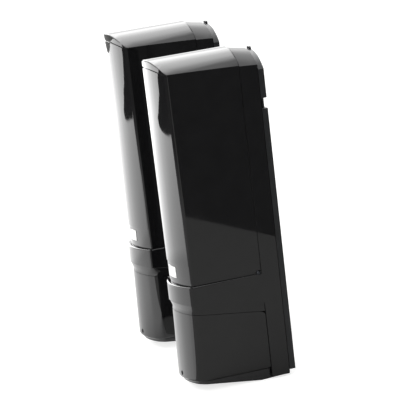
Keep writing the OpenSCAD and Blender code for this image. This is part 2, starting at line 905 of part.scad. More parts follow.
module tamper_plunger() {
    color("#b04a2c") translate([0, 0, tamper_z])
        rod_y(plunger_r, plunger_tip - plunger_len, plunger_tip);
}

module status_leds() {
    for (i = [0:3]) color(i == 0 ? "#c8302a" : "#d8a13a")
        translate([(i - 1.5) * 3 * led_r * 1.4, 0, dial_z + dial_body / 2 + led_r]) {
            rod_y(led_r, board_face, board_face + led_h);
            translate([0, -board_face - led_h, 0]) sphere(r = led_r);
        }
}

// Yoke: two cheeks and two bridges, turning on the pan trunnions
module pan_yoke() {
    color(dark_grey) difference() {
        union() {
            for (x = [-cheek_x - cheek_t, cheek_x])
                span([x, -pan_y - cheek_d / 2, yoke_low], [x + cheek_t, -pan_y + cheek_d / 2, yoke_top]);
            for (z = [yoke_low, yoke_top - yoke_plate_t])
                yoke_bridge(z);
            thumb_ring();
            translate([0, -pan_y, yoke_low - pin_len]) cylinder(r = pan_pin_r, h = pin_len + over);
            translate([0, -pan_y, yoke_top - over]) cylinder(r = pan_pin_r, h = pin_len + over);
        }
        for (side = [-1, 1]) translate([0, -pan_y, head_z + side * lens_pitch / 2])
            rod_x(tilt_pin_r + run_gap, -body_w, body_w);
    }
}

module yoke_bridge(z) {
    span([-cheek_x - cheek_t, -pan_y - cheek_d / 2, z],
        [cheek_x + cheek_t, -pan_y + cheek_d / 2, z + yoke_plate_t]);
}

// The knurled ring that a thumb turns to pan the head
module thumb_ring() {
    difference() {
        translate([0, -pan_y, yoke_low]) cylinder(r = ring_r, h = yoke_plate_t);
        for (i = [0:ring_grips - 1]) translate([0, -pan_y, yoke_low - over])
            rotate([0, 0, i * 360 / ring_grips]) translate([ring_r, 0, 0])
            cylinder(r = yoke_plate_t / 3, h = yoke_plate_t + 2 * over);
    }
}

// A lens case: open box, trunnions on its sides and the optical element on its back wall
module lens_case(z, element_r) {
    translate([0, -pan_y, z]) {
        color("#1f2123") difference() {
            union() {
                span([-case_half, -case_d / 2, -case_h / 2], [case_half, case_d / 2, case_h / 2]);
                rod_x(tilt_pin_r, -cheek_x - cheek_t, cheek_x + cheek_t);
                rod_x(2 * tilt_pin_r, -cheek_x + cheek_gap / 10, cheek_x - cheek_gap / 10);
            }
            span([-case_half + case_t, -case_d / 2 - over, -case_h / 2 + case_t],
                [case_half - case_t, case_d / 2 - case_t, case_h / 2 - case_t]);
        }
        color("#3b2630") translate([0, case_d / 2 - case_t, 0]) rod_y(element_r, 0, 2 * element_r);
    }
}

// A lens with a convex front, seated inside the case's mouth
module lens(z) {
    lens_half_x = case_half - case_t - run_gap;
    lens_half_z = case_h / 2 - case_t - run_gap;
    color("#8f98a0") translate([0, -pan_y - case_d / 2, z]) intersection() {
        span([-lens_half_x, -case_t, -lens_half_z], [lens_half_x, 2 * case_t, lens_half_z]);
        translate([0, lens_r - case_t, 0]) sphere(r = lens_r, $fn = fine_fn);
    }
}

// Sight block between the lenses, with two sighting holes and the tilt wheel's bearing
module sight_block() {
    color("#2d3033") translate([0, -pan_y, head_z]) difference() {
        span([-cheek_x, -sight_half_y, -sight_half_z], [cheek_x, sight_half_y, sight_half_z]);
        for (x = [-cheek_x * 0.62, cheek_x * 0.62]) translate([x, 2 * sight_half_y, 0])
            rod_y(sight_half_z / 2, 0, 4 * sight_half_y);
        rod_y(wheel_shaft_r + run_gap, 0, 2 * sight_half_y);
    }
}

module tilt_dial() {
    face = pan_y + sight_half_y + wheel_t + seam_gap;
    color("#d9d9d6") translate([0, 0, head_z]) difference() {
        union() {
            rod_y(wheel_r, pan_y + sight_half_y + seam_gap, face);
            rod_y(wheel_shaft_r, pan_y + seam_gap, face - wheel_t / 2);
        }
        for (i = [1:wheel_grips]) rotate([0, i * 360 / wheel_grips, 0]) translate([wheel_r, 0, 0])
            rod_y(wheel_r / 12, 0, body_d);
        span([-wheel_r / 10, -face - over, -wheel_r / 2], [wheel_r / 10, -face + wheel_t / 4, wheel_r / 2]);
    }
}

// Battery tray with four upright cells
module battery_holder() {
    color(inner_grey) difference() {
        union() {
            span([-tray_half_x, -tray_front, bay_z], [tray_half_x, -tray_back, bay_z + cell_h / 2]);
            for (x = [-tray_half_x / 2, tray_half_x / 2]) span([x - tray_t, -tray_back - tray_t, bay_z],
                [x + tray_t, -housing_back - wall, bay_z + cell_h / 3]);
        }
        span([-tray_half_x + tray_t, -tray_front + tray_t, bay_z + tray_t],
            [tray_half_x - tray_t, -tray_back - tray_t, bay_z + cell_h]);
    }
    color(steel) at_cells() translate([0, 0, bay_z + tray_t])
        cylinder(r1 = cell_r / 2, r2 = cell_r / 4, h = cell_z - bay_z - tray_t);
}

module at_cells() {
    for (x = [-1, 1], y = [-1, 1])
        translate([x * cell_step / 2, -(tray_front + tray_back) / 2 + y * cell_step / 2, 0]) children();
}

module battery_cells() {
    color("#3f6f9a") at_cells() translate([0, 0, cell_z]) {
        cylinder(r = cell_r, h = cell_h);
        cylinder(r = cell_r / 3, h = cell_h + wall / 2);
    }
}

// Pan head screws that hold the chassis to the rear housing
module fixing_screws() {
    head_face = chassis_y + chassis_t + screw_head_h;
    color(steel) at_chassis_screws() difference() {
        union() {
            rod_y(screw_head_r, chassis_y + chassis_t, head_face);
            rod_y(screw_r, housing_back + wall, head_face - screw_head_h / 2);
        }
        screw_slot(head_face);
    }
}

tx() mount_plate();  // tx_mount_plate
tx() rear_housing();  // tx_rear_housing
tx() bottom_cap();  // tx_bottom_cap
tx() chassis();  // tx_chassis
tx() main_board();  // tx_main_board
tx() board_parts();  // tx_board_parts
tx() terminal_block();  // tx_terminal_block
tx() terminal_screws();  // tx_terminal_screws
tx() tamper_switch();  // tx_tamper_switch
tx() status_leds();  // tx_status_leds
tx() battery_holder();  // tx_battery_holder
tx() battery_cells();  // tx_battery_cells
tx() fixing_screws();  // tx_fixing_screws
tx() cable_grommet();  // tx_cable_grommet
tx() latch_studs();  // tx_latch_studs
tx() cover_seal();  // tx_cover_seal
tx() front_cover();  // tx_front_cover
tx() label_plate();  // tx_label_plate
tx() lower_cover();  // tx_lower_cover
tx() cover_screw();  // tx_cover_screw
tx() pan_yoke();  // tx_pan_yoke
tx() sight_block();  // tx_sight_block
tx() lens_case(head_z + lens_pitch / 2, tilt_pin_r);  // tx_upper_lens_case
tx() lens(head_z + lens_pitch / 2);  // tx_upper_lens
tx() lens_case(head_z - lens_pitch / 2, tilt_pin_r);  // tx_lower_lens_case
tx() lens(head_z - lens_pitch / 2);  // tx_lower_lens
tx() tilt_dial();  // tx_tilt_dial
tx() tamper_plunger();  // tx_tamper_plunger
tx() setting_dial(-dial_x, channel_grips);  // tx_channel_dial
tx() setting_dial(dial_x, power_grips);  // tx_power_dial
rx() mount_plate();  // rx_mount_plate
rx() rear_housing();  // rx_rear_housing
rx() bottom_cap();  // rx_bottom_cap
rx() chassis();  // rx_chassis
rx() main_board();  // rx_main_board
rx() board_parts();  // rx_board_parts
rx() terminal_block();  // rx_terminal_block
rx() terminal_screws();  // rx_terminal_screws
rx() tamper_switch();  // rx_tamper_switch
rx() status_leds();  // rx_status_leds
rx() battery_holder();  // rx_battery_holder
rx() battery_cells();  // rx_battery_cells
rx() fixing_screws();  // rx_fixing_screws
rx() cable_grommet();  // rx_cable_grommet
rx() latch_studs();  // rx_latch_studs
rx() cover_seal();  // rx_cover_seal
rx() front_cover();  // rx_front_cover
rx() label_plate();  // rx_label_plate
rx() lower_cover();  // rx_lower_cover
rx() cover_screw();  // rx_cover_screw
rx() pan_yoke();  // rx_pan_yoke
rx() sight_block();  // rx_sight_block
rx() lens_case(head_z + lens_pitch / 2, 2 * tilt_pin_r);  // rx_upper_lens_case
rx() lens(head_z + lens_pitch / 2);  // rx_upper_lens
rx() lens_case(head_z - lens_pitch / 2, 2 * tilt_pin_r);  // rx_lower_lens_case
rx() lens(head_z - lens_pitch / 2);  // rx_lower_lens
rx() tilt_dial();  // rx_tilt_dial
rx() tamper_plunger();  // rx_tamper_plunger
rx() setting_dial(-dial_x, channel_grips);  // rx_channel_dial
rx() setting_dial(dial_x, timer_grips);  // rx_timer_dial
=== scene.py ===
import json
import math

import bpy
from mathutils import Matrix, Vector

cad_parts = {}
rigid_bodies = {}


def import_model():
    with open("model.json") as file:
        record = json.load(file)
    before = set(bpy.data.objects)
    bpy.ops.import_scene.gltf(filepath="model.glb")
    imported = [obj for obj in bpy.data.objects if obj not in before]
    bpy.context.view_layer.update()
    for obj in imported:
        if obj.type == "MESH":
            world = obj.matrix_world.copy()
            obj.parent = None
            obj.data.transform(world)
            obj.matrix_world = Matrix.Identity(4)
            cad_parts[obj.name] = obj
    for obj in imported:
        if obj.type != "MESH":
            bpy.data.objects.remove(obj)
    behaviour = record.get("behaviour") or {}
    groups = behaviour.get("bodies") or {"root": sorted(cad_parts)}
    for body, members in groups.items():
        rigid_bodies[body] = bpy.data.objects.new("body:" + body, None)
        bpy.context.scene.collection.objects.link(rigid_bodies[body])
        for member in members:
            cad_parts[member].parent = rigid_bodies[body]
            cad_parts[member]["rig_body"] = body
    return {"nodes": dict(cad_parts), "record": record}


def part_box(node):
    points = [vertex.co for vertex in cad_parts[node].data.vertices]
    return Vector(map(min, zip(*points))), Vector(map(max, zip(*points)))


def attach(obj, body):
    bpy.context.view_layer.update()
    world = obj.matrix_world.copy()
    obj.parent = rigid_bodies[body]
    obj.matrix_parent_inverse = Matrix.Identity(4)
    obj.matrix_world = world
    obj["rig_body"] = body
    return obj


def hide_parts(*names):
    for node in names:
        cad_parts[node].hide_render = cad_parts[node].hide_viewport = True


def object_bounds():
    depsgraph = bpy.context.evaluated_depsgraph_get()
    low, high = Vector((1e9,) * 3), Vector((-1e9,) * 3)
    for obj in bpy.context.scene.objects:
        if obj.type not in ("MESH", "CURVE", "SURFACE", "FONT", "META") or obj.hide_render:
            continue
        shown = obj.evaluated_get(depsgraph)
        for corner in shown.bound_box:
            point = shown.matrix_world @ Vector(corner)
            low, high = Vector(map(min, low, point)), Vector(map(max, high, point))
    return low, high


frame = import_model()
cad_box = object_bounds()

MM = 0.001
UNITS = ("tx", "rx")
LEVELS = ("upper", "lower")


# Colours and shader nodes

# Most of a noise pattern's values lie between these
NOISE_LOW, NOISE_HIGH = 0.3, 0.7
# Length in which a wave pattern of scale 1 repeats
WAVE_LENGTH = 0.314


def linear(code, alpha=1.0):
    """A hex colour as linear red, green, blue and alpha"""
    parts = [int(code[i : i + 2], 16) / 255 for i in (1, 3, 5)]
    parts = [c / 12.92 if c <= 0.04045 else ((c + 0.055) / 1.055) ** 2.4 for c in parts]
    return (*parts, alpha)


def add(tree, kind, inputs=None, **settings):
    """Adds a node with its settings; an input is a value, or an output to link"""
    node = tree.nodes.new(kind)
    for name, value in settings.items():
        setattr(node, name, value)
    for key, value in (inputs or {}).items():
        if isinstance(value, bpy.types.NodeSocket):
            tree.links.new(value, node.inputs[key])
        else:
            node.inputs[key].default_value = value
    return node


def blank_material(name, colour, roughness, ior=1.5, **sockets):
    """A material with one shader; returns it with its tree, shader and place on the object"""
    material = bpy.data.materials.new(name)
    material.use_nodes = True
    tree = material.node_tree
    shader = tree.nodes["Principled BSDF"]
    shader.inputs["Base Color"].default_value = linear(colour)
    shader.inputs["Roughness"].default_value = roughness
    shader.inputs["IOR"].default_value = ior
    for key, value in sockets.items():
        shader.inputs[key.replace("_", " ")].default_value = value
    place = add(tree, "ShaderNodeTexCoord").outputs["Object"]
    return material, tree, shader, place


def grain(tree, place, size, stretch=(1, 1, 1), detail=2.0):
    """Noise whose features are as large as the given size, stretched along each axis"""
    scale = tuple(1 / (size * s) for s in stretch)
    spread = add(tree, "ShaderNodeMapping", {"Vector": place, "Scale": scale})
    noise = add(tree, "ShaderNodeTexNoise", {"Vector": spread.outputs[0], "Scale": 1.0, "Detail": detail})
    return noise.outputs["Fac"]


def vary(tree, shader, socket, height, low, high):
    """Drives a socket between two values by a pattern"""
    spread = add(tree, "ShaderNodeMapRange", {"Value": height, "From Min": NOISE_LOW,
                                              "From Max": NOISE_HIGH, "To Min": low, "To Max": high})
    tree.links.new(spread.outputs[0], shader.inputs[socket])


def tint(tree, shader, height, low, high):
    """Drives the base colour between two hex colours by a pattern"""
    spread = add(tree, "ShaderNodeMapRange", {"Value": height, "From Min": NOISE_LOW, "From Max": NOISE_HIGH})
    mix = add(tree, "ShaderNodeMix", {"Factor": spread.outputs[0], 6: linear(low), 7: linear(high)},
              data_type="RGBA")
    tree.links.new(mix.outputs[2], shader.inputs["Base Color"])


def emboss(tree, shader, height, depth, strength=1.0):
    """Gives a shader the relief of a pattern"""
    bump = add(tree, "ShaderNodeBump", {"Height": height, "Distance": depth, "Strength": strength})
    tree.links.new(bump.outputs[0], shader.inputs["Normal"])


# Materials


def gloss_black_abs():
    """Black ABS from a polished mould: deep black, mirror-like, with a faint flow wave and light dust"""
    material, tree, shader, place = blank_material("gloss_black_abs", "#161617", 0.025)
    flow = grain(tree, place, 30 * MM, stretch=(1, 1, 6))
    haze = grain(tree, place, 22 * MM, detail=5.0)
    vary(tree, shader, "Roughness", haze, 0.018, 0.04)
    tint(tree, shader, haze, "#141415", "#181819")
    emboss(tree, shader, flow, 0.02 * MM, 0.6)
    return material


def matte_black_abs():
    """Black ABS from a spark-eroded mould: a dull charcoal with a 0.6 mm pebble grain"""
    material, tree, shader, place = blank_material("matte_black_abs", "#17181a", 0.42)
    pebble = grain(tree, place, 0.6 * MM)
    tint(tree, shader, grain(tree, place, 25 * MM, detail=4.0), "#141517", "#1b1c1e")
    vary(tree, shader, "Roughness", pebble, 0.36, 0.5)
    emboss(tree, shader, pebble, 0.04 * MM, 0.5)
    return material


def satin_black_cap():
    """Black polycarbonate of the bottom cap: satin, a little lighter than the covers"""
    material, tree, shader, place = blank_material("satin_black_cap", "#141416", 0.24, ior=1.58)
    pebble = grain(tree, place, 0.9 * MM)
    vary(tree, shader, "Roughness", pebble, 0.2, 0.3)
    emboss(tree, shader, pebble, 0.02 * MM, 0.4)
    return material


def grey_chassis_steel():
    """Painted sheet steel of the chassis: mid grey powder coat with a fine orange peel"""
    material, tree, shader, place = blank_material("grey_chassis_steel", "#8b8f92", 0.45)
    peel = grain(tree, place, 1.4 * MM)
    tint(tree, shader, grain(tree, place, 30 * MM, detail=3.0), "#85898c", "#919598")
    vary(tree, shader, "Roughness", peel, 0.38, 0.52)
    emboss(tree, shader, peel, 0.04 * MM, 0.6)
    return material


def dark_yoke_plastic():
    """Glass-filled nylon of the yoke: dark grey, dull, with short pale fibres near the surface"""
    material, tree, shader, place = blank_material("dark_yoke_plastic", "#3c3f42", 0.5, ior=1.53)
    fibres = grain(tree, place, 0.8 * MM, stretch=(4, 1, 1), detail=3.0)
    tint(tree, shader, fibres, "#36393c", "#45494c")
    vary(tree, shader, "Roughness", fibres, 0.42, 0.58)
    emboss(tree, shader, fibres, 0.02 * MM, 0.5)
    return material


def black_case_plastic():
    """Matte black ABS of the lens cases: light-absorbing, with a tight etched grain"""
    material, tree, shader, place = blank_material("black_case_plastic", "#1a1b1d", 0.55)
    etch = grain(tree, place, 0.5 * MM)
    tint(tree, shader, grain(tree, place, 18 * MM), "#17181a", "#1e2022")
    vary(tree, shader, "Roughness", etch, 0.48, 0.62)
    emboss(tree, shader, etch, 0.03 * MM, 0.5)
    return material


def charcoal_sight_plastic():
    """Satin charcoal ABS of the sight block"""
    material, tree, shader, place = blank_material("charcoal_sight_plastic", "#2b2e31", 0.38)
    etch = grain(tree, place, 0.7 * MM)
    tint(tree, shader, grain(tree, place, 15 * MM), "#282b2e", "#303336")
    vary(tree, shader, "Roughness", etch, 0.32, 0.45)
    emboss(tree, shader, etch, 0.02 * MM, 0.5)
    return material


def green_circuit_board():
    """Glass-epoxy board under green solder mask: glossy, with the copper under it showing paler"""
    material, tree, shader, place = blank_material("green_circuit_board", "#1d5a38", 0.28)
    # The copper runs upright and across in bands 25 mm apart, broken up by blocks of 11 mm. Real traces
    # are finer than a pixel, so they are drawn as coarse as they need to show
    scale = WAVE_LENGTH / (25 * MM)
    upright = add(tree, "ShaderNodeTexWave", {"Vector": place, "Scale": scale}, bands_direction="X")
    across = add(tree, "ShaderNodeTexWave", {"Vector": place, "Scale": scale}, bands_direction="Z")
    blocks = add(tree, "ShaderNodeTexVoronoi", {"Vector": place, "Scale": 1 / (11 * MM)},
                 distance="CHEBYCHEV")
    choice = add(tree, "ShaderNodeMath", {0: blocks.outputs["Color"], 1: 0.5}, operation="GREATER_THAN")
    lines = add(tree, "ShaderNodeMix", {"Factor": choice.outputs[0], 2: upright.outputs["Fac"],
                                        3: across.outputs["Fac"]})
    copper = add(tree, "ShaderNodeMath", {0: lines.outputs[0], 1: 0.72}, operation="GREATER_THAN")
    mix = add(tree, "ShaderNodeMix", {"Factor": copper.outputs[0], 6: linear("#1a5233"),
                                      7: linear("#2f7a4c")}, data_type="RGBA")
    tree.links.new(mix.outputs[2], shader.inputs["Base Color"])
    emboss(tree, shader, copper.outputs[0], 0.03 * MM, 0.5)
    return material


def black_component_epoxy():
    """Moulded epoxy of chips, relays and switches: near black, semi-matte"""
    material, tree, shader, place = blank_material("black_component_epoxy", "#242629", 0.42, ior=1.55)
    speck = grain(tree, place, 0.4 * MM)
    tint(tree, shader, speck, "#1f2124", "#2a2d30")
    vary(tree, shader, "Roughness", speck, 0.36, 0.5)
    return material


def green_terminal_nylon():
    """Nylon 66 of the terminal block: mid green, waxy, slightly translucent looking"""
    material, tree, shader, place = blank_material("green_terminal_nylon", "#2f7d4b", 0.38, ior=1.53)
    shader.inputs["Subsurface Weight"].default_value = 0.08
    shader.inputs["Subsurface Scale"].default_value = 1.0 * MM
    cloud = grain(tree, place, 6 * MM)
    tint(tree, shader, cloud, "#2b7546", "#348553")
    vary(tree, shader, "Roughness", cloud, 0.32, 0.44)
    return material


def zinc_plated_steel():
    """Zinc-plated steel of screws and bright caps: pale, slightly blue, finely turned"""
    material, tree, shader, place = blank_material("zinc_plated_steel", "#c3c7cb", 0.26, Metallic=1.0)
    turned = grain(tree, place, 0.5 * MM, stretch=(1, 4, 1))
    tint(tree, shader, turned, "#b7bbc0", "#ced2d6")
    vary(tree, shader, "Roughness", turned, 0.2, 0.36)
    return material


def blackened_steel():
    """Black-oxide steel of the latch studs: dark, with an oily sheen that is uneven where it is rubbed"""
    material, tree, shader, place = blank_material("blackened_steel", "#3c3e42", 0.22, Metallic=1.0)
    rubbed = grain(tree, place, 0.7 * MM)
    tint(tree, shader, rubbed, "#34363a", "#4a4c50")
    vary(tree, shader, "Roughness", rubbed, 0.16, 0.3)
    return material


def tinned_copper():
    """Tinned copper of pins and solder joints: bright, soft silver"""
    material, tree, shader, place = blank_material("tinned_copper", "#d4d6d8", 0.2, Metallic=1.0)
    vary(tree, shader, "Roughness", grain(tree, place, 0.6 * MM), 0.14, 0.3)
    return material


def lamp_epoxy(name, colour):
    """Tinted clear epoxy of a lamp: half see-through, glassy on top"""
    material, tree, shader, place = blank_material(name, colour, 0.08, ior=1.54)
    shader.inputs["Transmission Weight"].default_value = 0.45
    vary(tree, shader, "Roughness", grain(tree, place, 1.0 * MM), 0.05, 0.12)
    return material


def blue_cell_sleeve():
    """Shrunk PVC sleeve of a battery cell: glossy blue with faint stretch marks round the cell"""
    material, tree, shader, place = blank_material("blue_cell_sleeve", "#2f6496", 0.2, ior=1.53)
    stretch = grain(tree, place, 2.0 * MM, stretch=(6, 6, 1))
    tint(tree, shader, grain(tree, place, 14 * MM), "#2b5d8d", "#346ca1")
    vary(tree, shader, "Roughness", stretch, 0.14, 0.26)
    emboss(tree, shader, stretch, 0.03 * MM, 0.5)
    return material


def black_rubber():
    """EPDM rubber of the seal and grommet: dull black with a soft bloom"""
    material, tree, shader, place = blank_material("black_rubber", "#1c1c1c", 0.72, ior=1.52)
    bloom = grain(tree, place, 5 * MM, detail=4.0)
    tint(tree, shader, bloom, "#191919", "#232322")
    vary(tree, shader, "Roughness", bloom, 0.64, 0.82)
    return material


def white_label_foil():
    """Plain polyester label: clean white, satin"""
    material, tree, shader, place = blank_material("white_label_foil", "#f2f2f0", 0.3)
    vary(tree, shader, "Roughness", grain(tree, place, 3 * MM), 0.25, 0.36)
    return material


def clear_lens_polycarbonate():
    """Clear moulded polycarbonate of the lenses: glassy, with a faint haze"""
    material, tree, shader, place = blank_material("clear_lens_polycarbonate", "#dfe7ee", 0.03, ior=1.585)
    shader.inputs["Transmission Weight"].default_value = 0.85
    vary(tree, shader, "Roughness", grain(tree, place, 20 * MM), 0.02, 0.05)
    return material


def white_dial_acetal():
    """Acetal of the setting dials: warm white, satin"""
    material, tree, shader, place = blank_material("white_dial_acetal", "#e2e2dd", 0.34, ior=1.48)
    cloud = grain(tree, place, 4 * MM)
    tint(tree, shader, cloud, "#dcdcd6", "#e8e8e4")
    vary(tree, shader, "Roughness", cloud, 0.28, 0.4)
    return material


def red_plunger_acetal():
    """Acetal of the tamper plunger: brick red, satin"""
    material, tree, shader, place = blank_material("red_plunger_acetal", "#b0442a", 0.32, ior=1.48)
    cloud = grain(tree, place, 3 * MM)
    tint(tree, shader, cloud, "#a63f27", "#ba4a2f")
    vary(tree, shader, "Roughness", cloud, 0.26, 0.38)
    return material


FINISHES = {
    "shell_black": gloss_black_abs(),
    "plate_black": matte_black_abs(),
    "cap_black": satin_black_cap(),
    "chassis_grey": grey_chassis_steel(),
    "yoke_grey": dark_yoke_plastic(),
    "case_black": black_case_plastic(),
    "sight_black": charcoal_sight_plastic(),
    "board_green": green_circuit_board(),
    "component_black": black_component_epoxy(),
    "terminal_green": green_terminal_nylon(),
    "steel": zinc_plated_steel(),
    "lamp_plastic": lamp_epoxy("amber_lamp_epoxy", "#e8a030"),
    "cell_wrap": blue_cell_sleeve(),
    "rubber": black_rubber(),
    "label_white": white_label_foil(),
    "lens_clear": clear_lens_polycarbonate(),
    "dial_white": white_dial_acetal(),
    "plunger_red": red_plunger_acetal(),
}


# Pieces

# How far each sub-part's edges are rounded, in millimetres
EDGE_RADII = {
    "mount_plate": 0.5, "rear_housing": 0.35, "bottom_cap": 0.8, "chassis": 0.3, "main_board": 0.12,
    "board_parts": 0.2, "terminal_block": 0.25, "terminal_screws": 0.12, "tamper_switch": 0.4,
    "battery_holder": 0.35, "fixing_screws": 0.2, "cable_grommet": 0.5, "latch_studs": 0.3,
    "cover_seal": 0.1, "front_cover": 0.7, "label_plate": 0.15, "lower_cover": 0.45, "cover_screw": 0.2,
    "pan_yoke": 0.35, "sight_block": 0.4, "upper_lens_case": 0.4, "lower_lens_case": 0.4, "tilt_dial": 0.2,
    "tamper_plunger": 0.3, "channel_dial": 0.15, "power_dial": 0.15, "timer_dial": 0.15,
    "battery_cells": 0.8, "status_leds": 0.1,
}
# Sub-parts that are modelled anew, so that their solids get no moulded copy
REMADE = ("upper_lens", "lower_lens")
# Weld distance and flatness of a moulded copy's faces
WELD = 0.002 * MM
FLAT_ANGLE = math.radians(0.3)
# The sharpest angle that counts as smooth
SHARP_ANGLE = math.radians(32)

# The bow of the posts' front faces, and the ridges of the collar and the lower cover
NOSE_RADIUS = 77.8 * MM
LOWER_RIDGE = 17 * MM
COLLAR_RIDGE = 6 * MM
# Roundings of the lower cover's chin and of the collar's ledge, and how closely their edges are found:
# by level, from the sides, from the bowed front, and behind the ridges
CHIN_ROUND = 3.2 * MM
LEDGE_ROUND = 2.2 * MM
RIM_SEGMENTS = 5
LEVEL_SLACK = 0.05 * MM
SIDE_SLACK = 0.2 * MM
FRONT_SLACK = 2 * MM
RIDGE_SLACK = 5 * MM
# How far the roof's arch falls at its sides, how far its front edge is rounded at the middle and its
# rear edge all along, and how far from the cover's sides both roundings end
ARCH_DROP = 16 * MM
BROW_ROUND = 1.5 * MM
REAR_ROUND = 1.5 * MM
BROW_END = 7.5 * MM
BROW_SEGMENTS = 4
# Name of the edge weights that a Bevel modifier reads
BEVEL_WEIGHT = "bevel_weight_edge"

# How the lens is stepped: number of rings, height of a step, the dome's radius, the share of a ring that
# its step takes up, and how far the round blank reaches past the corners
LENS_RINGS = 15
LENS_STEP = 0.55 * MM
LENS_DOME_RADIUS = 130 * MM
LENS_STEP_SHARE = 0.1
LENS_OVERREACH = 1.03
# Wall of the lens cases, and the can and the dome at their back
CASE_WALL = 2.5 * MM
CAN_RADIUS, CAN_HEIGHT = 4.6 * MM, 8.6 * MM
CAN_RIM, CAN_LIP, CAN_HOLLOW = 0.7 * MM, 0.3 * MM, 1.0 * MM
DOME_RADIUS, DOME_FOOT, DOME_HEIGHT = 3.4 * MM, 7.2 * MM, 10.4 * MM
DOME_ROUND, DOME_SEGMENTS = 2.4 * MM, 6
# Aluminium can of a capacitor: its stand-off from the solid, the length of its skin, and its rim, lip,
# hollow and cross
SKIN_GAP, SKIN_LENGTH, SKIN_RISE = 0.05 * MM, 1.2 * MM, 0.15 * MM
SKIN_RIM, SKIN_LIP = 0.35 * MM, 0.15 * MM
CROSS_REACH, CROSS_WIDTH = 1.9 * MM, 0.16 * MM
CROSS_RISE, CROSS_DEPTH = 0.12 * MM, 0.4 * MM
# Capacitors beyond the first, and their pitch as a share of the chip's size
MORE_CAPACITORS, CAPACITOR_PITCH = 3, 0.8
# A chip's pins: number on a side and pitch as a share of the chip's size
PIN_COUNT, PIN_PITCH = 12, 1.5 / 12.5
PIN_WIDTH, PIN_THICK, PIN_RISE = 0.4 * MM, 0.25 * MM, 1.6 * MM
# How far from the chip's side a pin's leg stands and its foot ends, and how far its shoulder goes in
PIN_OUT, PIN_FOOT, PIN_ROOT = 0.5 * MM, 1.5 * MM, 0.2 * MM
# Small resistors: the body, how much it is cut back at each end, and its ends' half length and skin
RESISTOR_LENGTH, RESISTOR_WIDTH, RESISTOR_RISE = 2.1 * MM, 1.2 * MM, 0.55 * MM
RESISTOR_CUT, RESISTOR_END, RESISTOR_SKIN = 0.4 * MM, 0.22 * MM, 0.03 * MM
# Their row along the board's top edge: number, start, pitch and inset; and the same up each side
TOP_ROW = (12, 8 * MM, 4.2 * MM, 2.6 * MM)
SIDE_ROW = (8, 20 * MM, 3.4 * MM, 2.4 * MM)
# A cell's end cap: its button's height, its thickness, its place over the cell's shoulder, its slack,
# the shares of the cell's radius that it and its ring take up, and the button's shoulder
CELL_BUTTON = 1.3 * MM
CAP_THICK = 0.5 * MM
CAP_LIFT = 0.2 * MM
CAP_SLACK = 0.1 * MM
CAP_SHARE, CAP_RING = 0.86, 0.44
BUTTON_SHOULDER, BUTTON_SINK = 0.3 * MM, 0.4 * MM
# Share of the status lamps' row that the red one takes up
RED_SHARE = 1 / 5


def only(obj):
    """Selects one object and makes it active"""
    bpy.ops.object.select_all(action="DESELECT")
    obj.select_set(True)
    bpy.context.view_layer.objects.active = obj


def wear(obj, material):
    """Gives a piece one material all over"""
    obj.data.materials.clear()
    obj.data.materials.append(material)
    for face in obj.data.polygons:
        face.material_index = 0


def node_slot(node):
    """The record's material slot of a CAD node"""
    for part in frame["record"]["subparts"]:
        if part["node"] == node:
            return part["material_slot"]
    raise KeyError(node)


def start(kind, name, **where):
    """Adds a primitive with nothing else selected"""
    bpy.ops.object.select_all(action="DESELECT")
    getattr(bpy.ops.mesh, "primitive_" + kind + "_add")(**where)
    piece = bpy.context.object
    piece.name = name
    return piece


def plant(piece):
    """Puts a piece's place into its mesh, so that its object sits at the origin"""
    only(piece)
    bpy.ops.object.transform_apply(location=True, rotation=True, scale=True)
    return piece


def join(pieces, name):
    """Makes one piece of several"""
    only(pieces[0])
    for piece in pieces:
        piece.select_set(True)
    bpy.ops.object.join()
    pieces[0].name = name
    return plant(pieces[0])


def twin(piece, shift):
    """A copy of a piece with its own mesh, moved by a shift"""
    other = piece.copy()
    other.data = piece.data.copy()
    bpy.context.scene.collection.objects.link(other)
    other.data.transform(Matrix.Translation(shift))
    return other


def row(piece, shifts):
    """One piece made of a modelled start and its copies at the given shifts"""
    return join([piece] + [twin(piece, shift) for shift in shifts], piece.name)


def settle_copies(piece, hosts, suffix, finish, replace=False):
    """Settles a piece on the CAD node it was modelled for, and a copy of it on each node that is alike

    Each rides on its node's body, wears the finish and may replace its node.
    """
    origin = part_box(hosts[0])[0]
    pieces = [piece] + [twin(piece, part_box(host)[0] - origin) for host in hosts[1:]]
    for host, part in zip(hosts, pieces):
        part.name = host + suffix
        wear(part, finish)
        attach(part, frame["nodes"][host]["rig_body"])
        if replace:
            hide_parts(host)


def block(name, low, high):
    """A plain block between two corners, to be shaped further"""
    low, high = Vector(low), Vector(high)
    piece = start("cube", name, size=1, location=(low + high) / 2)
    piece.scale = high - low
    return plant(piece)


def rod(name, centre, radius, near, far, sides=40):
    """A round rod along Y, between the distances near and far in front of the wall"""
    where = (centre[0], -(near + far) / 2, centre[2])
    piece = start("cylinder", name, radius=radius, depth=abs(far - near), vertices=sides, location=where,
                  rotation=(math.radians(90), 0, 0))
    return plant(piece)


def pick_faces(piece, chosen):
    """Enters edit mode with the faces selected that the test picks by their normal"""
    only(piece)
    bpy.ops.object.mode_set(mode="EDIT")
    bpy.ops.mesh.select_mode(type="FACE")
    bpy.ops.mesh.select_all(action="DESELECT")
    bpy.ops.object.mode_set(mode="OBJECT")
    for face in piece.data.polygons:
        face.select = chosen(face.normal)
    bpy.ops.object.mode_set(mode="EDIT")


def looks_forward(normal):
    """Whether a face looks away from the wall"""
    return normal.y < -0.9


def looks_up(normal):
    """Whether a face looks up"""
    return normal.z > 0.9


